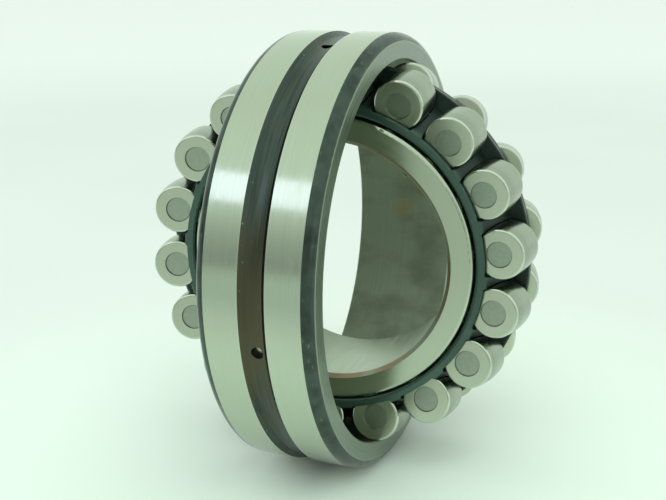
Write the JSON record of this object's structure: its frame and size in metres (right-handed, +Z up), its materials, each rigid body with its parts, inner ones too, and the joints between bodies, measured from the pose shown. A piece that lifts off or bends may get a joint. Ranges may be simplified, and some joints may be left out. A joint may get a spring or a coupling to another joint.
{
  "type": "spherical roller bearing",
  "caption": "Self-aligning spherical roller bearing: barrel rollers in pressed steel cages run between an inner ring and a grooved outer ring, inner assembly swivelled.",
  "frame": {"origin": "centre of the outer ring's spherical raceway, on both axes of rotation", "axes": "+Y along the outer ring's axis towards the side away from the viewer, +Z up, which is also the axis of the swivel; the inner assembly's axis lies in XY, turned 85.7 degrees clockwise from the outer ring's as seen from above"},
  "size_m": [0.12, 0.109, 0.12],
  "materials": {
    "outer_ring_steel": "ground outside, dark turned groove and corners",
    "inner_ring_steel": "ground",
    "guide_ring_steel": "turned",
    "cage_sheet": "phosphated sheet steel",
    "roller_steel": "superfinished"
  },
  "bodies": {
    "outer_ring": {"outer_ring": "outer_ring_steel"},
    "inner_ring": {"inner_ring": "inner_ring_steel"},
    "guide_ring": {"guide_ring": "guide_ring_steel"},
    "cage_front": {"cage_front": "cage_sheet"},
    "cage_rear": {"cage_rear": "cage_sheet"},
    "roller_front_01": {"roller_front_01": "roller_steel"},
    "roller_front_02": {"roller_front_02": "roller_steel"},
    "roller_front_03": {"roller_front_03": "roller_steel"},
    "roller_front_04": {"roller_front_04": "roller_steel"},
    "roller_front_05": {"roller_front_05": "roller_steel"},
    "roller_front_06": {"roller_front_06": "roller_steel"},
    "roller_front_07": {"roller_front_07": "roller_steel"},
    "roller_front_08": {"roller_front_08": "roller_steel"},
    "roller_front_09": {"roller_front_09": "roller_steel"},
    "roller_front_10": {"roller_front_10": "roller_steel"},
    "roller_front_11": {"roller_front_11": "roller_steel"},
    "roller_front_12": {"roller_front_12": "roller_steel"},
    "roller_front_13": {"roller_front_13": "roller_steel"},
    "roller_front_14": {"roller_front_14": "roller_steel"},
    "roller_front_15": {"roller_front_15": "roller_steel"},
    "roller_front_16": {"roller_front_16": "roller_steel"},
    "roller_front_17": {"roller_front_17": "roller_steel"},
    "roller_front_18": {"roller_front_18": "roller_steel"},
    "roller_rear_01": {"roller_rear_01": "roller_steel"},
    "roller_rear_02": {"roller_rear_02": "roller_steel"},
    "roller_rear_03": {"roller_rear_03": "roller_steel"},
    "roller_rear_04": {"roller_rear_04": "roller_steel"},
    "roller_rear_05": {"roller_rear_05": "roller_steel"},
    "roller_rear_06": {"roller_rear_06": "roller_steel"},
    "roller_rear_07": {"roller_rear_07": "roller_steel"},
    "roller_rear_08": {"roller_rear_08": "roller_steel"},
    "roller_rear_09": {"roller_rear_09": "roller_steel"},
    "roller_rear_10": {"roller_rear_10": "roller_steel"},
    "roller_rear_11": {"roller_rear_11": "roller_steel"},
    "roller_rear_12": {"roller_rear_12": "roller_steel"},
    "roller_rear_13": {"roller_rear_13": "roller_steel"},
    "roller_rear_14": {"roller_rear_14": "roller_steel"},
    "roller_rear_15": {"roller_rear_15": "roller_steel"},
    "roller_rear_16": {"roller_rear_16": "roller_steel"},
    "roller_rear_17": {"roller_rear_17": "roller_steel"},
    "roller_rear_18": {"roller_rear_18": "roller_steel"}
  },
  "joints": [
    {"name": "swivel", "type": "hinge", "parent": "outer_ring", "child": "guide_ring", "pos_m": [0, 0, 0], "axis": [0, 0, 1], "range_deg": [-4.3, 87.7]},
    {"name": "shaft_spin", "type": "hinge", "parent": "guide_ring", "child": "inner_ring", "pos_m": [0, 0, 0], "axis": [0.9972, 0.075, 0], "continuous": true},
    {"name": "cage_front_spin", "type": "hinge", "parent": "guide_ring", "child": "cage_front", "pos_m": [0, 0, 0], "axis": [0.9972, 0.075, 0], "continuous": true},
    {"name": "cage_rear_spin", "type": "hinge", "parent": "guide_ring", "child": "cage_rear", "pos_m": [0, 0, 0], "axis": [0.9972, 0.075, 0], "continuous": true},
    {"name": "roller_front_01_spin", "type": "hinge", "parent": "cage_front", "child": "roller_front_01", "pos_m": [-0.00503, -0.04742, 0.00518], "axis": [0.9944, -0.1034, 0.0196], "continuous": true},
    {"name": "roller_front_02_spin", "type": "hinge", "parent": "cage_front", "child": "roller_front_02", "pos_m": [-0.00538, -0.04284, 0.02091], "axis": [0.9931, -0.086, 0.0792], "continuous": true},
    {"name": "roller_front_03_spin", "type": "hinge", "parent": "cage_front", "child": "roller_front_03", "pos_m": [-0.00611, -0.03316, 0.03412], "axis": [0.9904, -0.0494, 0.1292], "continuous": true},
    {"name": "roller_front_04_spin", "type": "hinge", "parent": "cage_front", "child": "roller_front_04", "pos_m": [-0.00713, -0.01956, 0.04322], "axis": [0.9865, 0.0021, 0.1637], "continuous": true},
    {"name": "roller_front_05_spin", "type": "hinge", "parent": "cage_front", "child": "roller_front_05", "pos_m": [-0.00832, -0.00368, 0.0471], "axis": [0.982, 0.0623, 0.1784], "continuous": true},
    {"name": "roller_front_06_spin", "type": "hinge", "parent": "cage_front", "child": "roller_front_06", "pos_m": [-0.00954, 0.01257, 0.0453], "axis": [0.9774, 0.1238, 0.1716], "continuous": true},
    {"name": "roller_front_07_spin", "type": "hinge", "parent": "cage_front", "child": "roller_front_07", "pos_m": [-0.01065, 0.02722, 0.03804], "axis": [0.9732, 0.1793, 0.1441], "continuous": true},
    {"name": "roller_front_08_spin", "type": "hinge", "parent": "cage_front", "child": "roller_front_08", "pos_m": [-0.0115, 0.03851, 0.02619], "axis": [0.97, 0.2221, 0.0992], "continuous": true},
    {"name": "roller_front_09_spin", "type": "hinge", "parent": "cage_front", "child": "roller_front_09", "pos_m": [-0.01199, 0.04508, 0.01118], "axis": [0.9681, 0.247, 0.0423], "continuous": true},
    {"name": "roller_front_10_spin", "type": "hinge", "parent": "cage_front", "child": "roller_front_10", "pos_m": [-0.01207, 0.04614, -0.00518], "axis": [0.9678, 0.2509, -0.0196], "continuous": true},
    {"name": "roller_front_11_spin", "type": "hinge", "parent": "cage_front", "child": "roller_front_11", "pos_m": [-0.01172, 0.04155, -0.02091], "axis": [0.9691, 0.2336, -0.0792], "continuous": true},
    {"name": "roller_front_12_spin", "type": "hinge", "parent": "cage_front", "child": "roller_front_12", "pos_m": [-0.011, 0.03187, -0.03412], "axis": [0.9719, 0.1969, -0.1292], "continuous": true},
    {"name": "roller_front_13_spin", "type": "hinge", "parent": "cage_front", "child": "roller_front_13", "pos_m": [-0.00997, 0.01827, -0.04322], "axis": [0.9757, 0.1454, -0.1637], "continuous": true},
    {"name": "roller_front_14_spin", "type": "hinge", "parent": "cage_front", "child": "roller_front_14", "pos_m": [-0.00878, 0.00239, -0.0471], "axis": [0.9803, 0.0853, -0.1784], "continuous": true},
    {"name": "roller_front_15_spin", "type": "hinge", "parent": "cage_front", "child": "roller_front_15", "pos_m": [-0.00756, -0.01385, -0.0453], "axis": [0.9849, 0.0237, -0.1716], "continuous": true},
    {"name": "roller_front_16_spin", "type": "hinge", "parent": "cage_front", "child": "roller_front_16", "pos_m": [-0.00646, -0.02851, -0.03804], "axis": [0.9891, -0.0318, -0.1441], "continuous": true},
    {"name": "roller_front_17_spin", "type": "hinge", "parent": "cage_front", "child": "roller_front_17", "pos_m": [-0.00561, -0.0398, -0.02619], "axis": [0.9923, -0.0745, -0.0992], "continuous": true},
    {"name": "roller_front_18_spin", "type": "hinge", "parent": "cage_front", "child": "roller_front_18", "pos_m": [-0.00511, -0.04637, -0.01118], "axis": [0.9941, -0.0994, -0.0423], "continuous": true},
    {"name": "roller_rear_01_spin", "type": "hinge", "parent": "cage_rear", "child": "roller_rear_01", "pos_m": [0.01204, -0.04578, 0.00779], "axis": [0.9679, 0.2496, -0.0295], "continuous": true},
    {"name": "roller_rear_02_spin", "type": "hinge", "parent": "cage_rear", "child": "roller_rear_02", "pos_m": [0.01163, -0.04032, 0.02324], "axis": [0.9695, 0.2289, -0.088], "continuous": true},
    {"name": "roller_rear_03_spin", "type": "hinge", "parent": "cage_rear", "child": "roller_rear_03", "pos_m": [0.01085, -0.02992, 0.03589], "axis": [0.9724, 0.1895, -0.1359], "continuous": true},
    {"name": "roller_rear_04_spin", "type": "hinge", "parent": "cage_rear", "child": "roller_rear_04", "pos_m": [0.00979, -0.01584, 0.04421], "axis": [0.9764, 0.1362, -0.1674], "continuous": true},
    {"name": "roller_rear_05_spin", "type": "hinge", "parent": "cage_rear", "child": "roller_rear_05", "pos_m": [0.00858, 0.00023, 0.0472], "axis": [0.981, 0.0753, -0.1788], "continuous": true},
    {"name": "roller_rear_06_spin", "type": "hinge", "parent": "cage_rear", "child": "roller_rear_06", "pos_m": [0.00737, 0.01635, 0.04449], "axis": [0.9856, 0.0143, -0.1685], "continuous": true},
    {"name": "roller_rear_07_spin", "type": "hinge", "parent": "cage_rear", "child": "roller_rear_07", "pos_m": [0.0063, 0.03058, 0.03642], "axis": [0.9896, -0.0396, -0.1379], "continuous": true},
    {"name": "roller_rear_08_spin", "type": "hinge", "parent": "cage_rear", "child": "roller_rear_08", "pos_m": [0.0055, 0.0412, 0.02395], "axis": [0.9927, -0.0798, -0.0907], "continuous": true},
    {"name": "roller_rear_09_spin", "type": "hinge", "parent": "cage_rear", "child": "roller_rear_09", "pos_m": [0.00507, 0.04692, 0.0086], "axis": [0.9943, -0.1015, -0.0326], "continuous": true},
    {"name": "roller_rear_10_spin", "type": "hinge", "parent": "cage_rear", "child": "roller_rear_10", "pos_m": [0.00506, 0.04706, -0.00779], "axis": [0.9943, -0.102, 0.0295], "continuous": true},
    {"name": "roller_rear_11_spin", "type": "hinge", "parent": "cage_rear", "child": "roller_rear_11", "pos_m": [0.00547, 0.04161, -0.02324], "axis": [0.9928, -0.0814, 0.088], "continuous": true},
    {"name": "roller_rear_12_spin", "type": "hinge", "parent": "cage_rear", "child": "roller_rear_12", "pos_m": [0.00625, 0.03121, -0.03589], "axis": [0.9898, -0.042, 0.1359], "continuous": true},
    {"name": "roller_rear_13_spin", "type": "hinge", "parent": "cage_rear", "child": "roller_rear_13", "pos_m": [0.00731, 0.01713, -0.04421], "axis": [0.9858, 0.0113, 0.1674], "continuous": true},
    {"name": "roller_rear_14_spin", "type": "hinge", "parent": "cage_rear", "child": "roller_rear_14", "pos_m": [0.00852, 0.00105, -0.0472], "axis": [0.9812, 0.0722, 0.1788], "continuous": true},
    {"name": "roller_rear_15_spin", "type": "hinge", "parent": "cage_rear", "child": "roller_rear_15", "pos_m": [0.00973, -0.01507, -0.04449], "axis": [0.9766, 0.1333, 0.1685], "continuous": true},
    {"name": "roller_rear_16_spin", "type": "hinge", "parent": "cage_rear", "child": "roller_rear_16", "pos_m": [0.0108, -0.02929, -0.03642], "axis": [0.9726, 0.1872, 0.1379], "continuous": true},
    {"name": "roller_rear_17_spin", "type": "hinge", "parent": "cage_rear", "child": "roller_rear_17", "pos_m": [0.0116, -0.03991, -0.02395], "axis": [0.9696, 0.2274, 0.0907], "continuous": true},
    {"name": "roller_rear_18_spin", "type": "hinge", "parent": "cage_rear", "child": "roller_rear_18", "pos_m": [0.01203, -0.04563, -0.0086], "axis": [0.9679, 0.249, 0.0326], "continuous": true}
  ],
  "couplings": [
    {"joint": "cage_front_spin", "follows": "shaft_spin", "ratio": 0.427},
    {"joint": "cage_rear_spin", "follows": "shaft_spin", "ratio": 0.427},
    {"joint": "roller_front_01_spin", "follows": "shaft_spin", "ratio": -3.2997},
    {"joint": "roller_front_02_spin", "follows": "shaft_spin", "ratio": -3.2997},
    {"joint": "roller_front_03_spin", "follows": "shaft_spin", "ratio": -3.2997},
    {"joint": "roller_front_04_spin", "follows": "shaft_spin", "ratio": -3.2997},
    {"joint": "roller_front_05_spin", "follows": "shaft_spin", "ratio": -3.2997},
    {"joint": "roller_front_06_spin", "follows": "shaft_spin", "ratio": -3.2997},
    {"joint": "roller_front_07_spin", "follows": "shaft_spin", "ratio": -3.2997},
    {"joint": "roller_front_08_spin", "follows": "shaft_spin", "ratio": -3.2997},
    {"joint": "roller_front_09_spin", "follows": "shaft_spin", "ratio": -3.2997},
    {"joint": "roller_front_10_spin", "follows": "shaft_spin", "ratio": -3.2997},
    {"joint": "roller_front_11_spin", "follows": "shaft_spin", "ratio": -3.2997},
    {"joint": "roller_front_12_spin", "follows": "shaft_spin", "ratio": -3.2997},
    {"joint": "roller_front_13_spin", "follows": "shaft_spin", "ratio": -3.2997},
    {"joint": "roller_front_14_spin", "follows": "shaft_spin", "ratio": -3.2997},
    {"joint": "roller_front_15_spin", "follows": "shaft_spin", "ratio": -3.2997},
    {"joint": "roller_front_16_spin", "follows": "shaft_spin", "ratio": -3.2997},
    {"joint": "roller_front_17_spin", "follows": "shaft_spin", "ratio": -3.2997},
    {"joint": "roller_front_18_spin", "follows": "shaft_spin", "ratio": -3.2997},
    {"joint": "roller_rear_01_spin", "follows": "shaft_spin", "ratio": -3.2997},
    {"joint": "roller_rear_02_spin", "follows": "shaft_spin", "ratio": -3.2997},
    {"joint": "roller_rear_03_spin", "follows": "shaft_spin", "ratio": -3.2997},
    {"joint": "roller_rear_04_spin", "follows": "shaft_spin", "ratio": -3.2997},
    {"joint": "roller_rear_05_spin", "follows": "shaft_spin", "ratio": -3.2997},
    {"joint": "roller_rear_06_spin", "follows": "shaft_spin", "ratio": -3.2997},
    {"joint": "roller_rear_07_spin", "follows": "shaft_spin", "ratio": -3.2997},
    {"joint": "roller_rear_08_spin", "follows": "shaft_spin", "ratio": -3.2997},
    {"joint": "roller_rear_09_spin", "follows": "shaft_spin", "ratio": -3.2997},
    {"joint": "roller_rear_10_spin", "follows": "shaft_spin", "ratio": -3.2997},
    {"joint": "roller_rear_11_spin", "follows": "shaft_spin", "ratio": -3.2997},
    {"joint": "roller_rear_12_spin", "follows": "shaft_spin", "ratio": -3.2997},
    {"joint": "roller_rear_13_spin", "follows": "shaft_spin", "ratio": -3.2997},
    {"joint": "roller_rear_14_spin", "follows": "shaft_spin", "ratio": -3.2997},
    {"joint": "roller_rear_15_spin", "follows": "shaft_spin", "ratio": -3.2997},
    {"joint": "roller_rear_16_spin", "follows": "shaft_spin", "ratio": -3.2997},
    {"joint": "roller_rear_17_spin", "follows": "shaft_spin", "ratio": -3.2997},
    {"joint": "roller_rear_18_spin", "follows": "shaft_spin", "ratio": -3.2997}
  ]
}
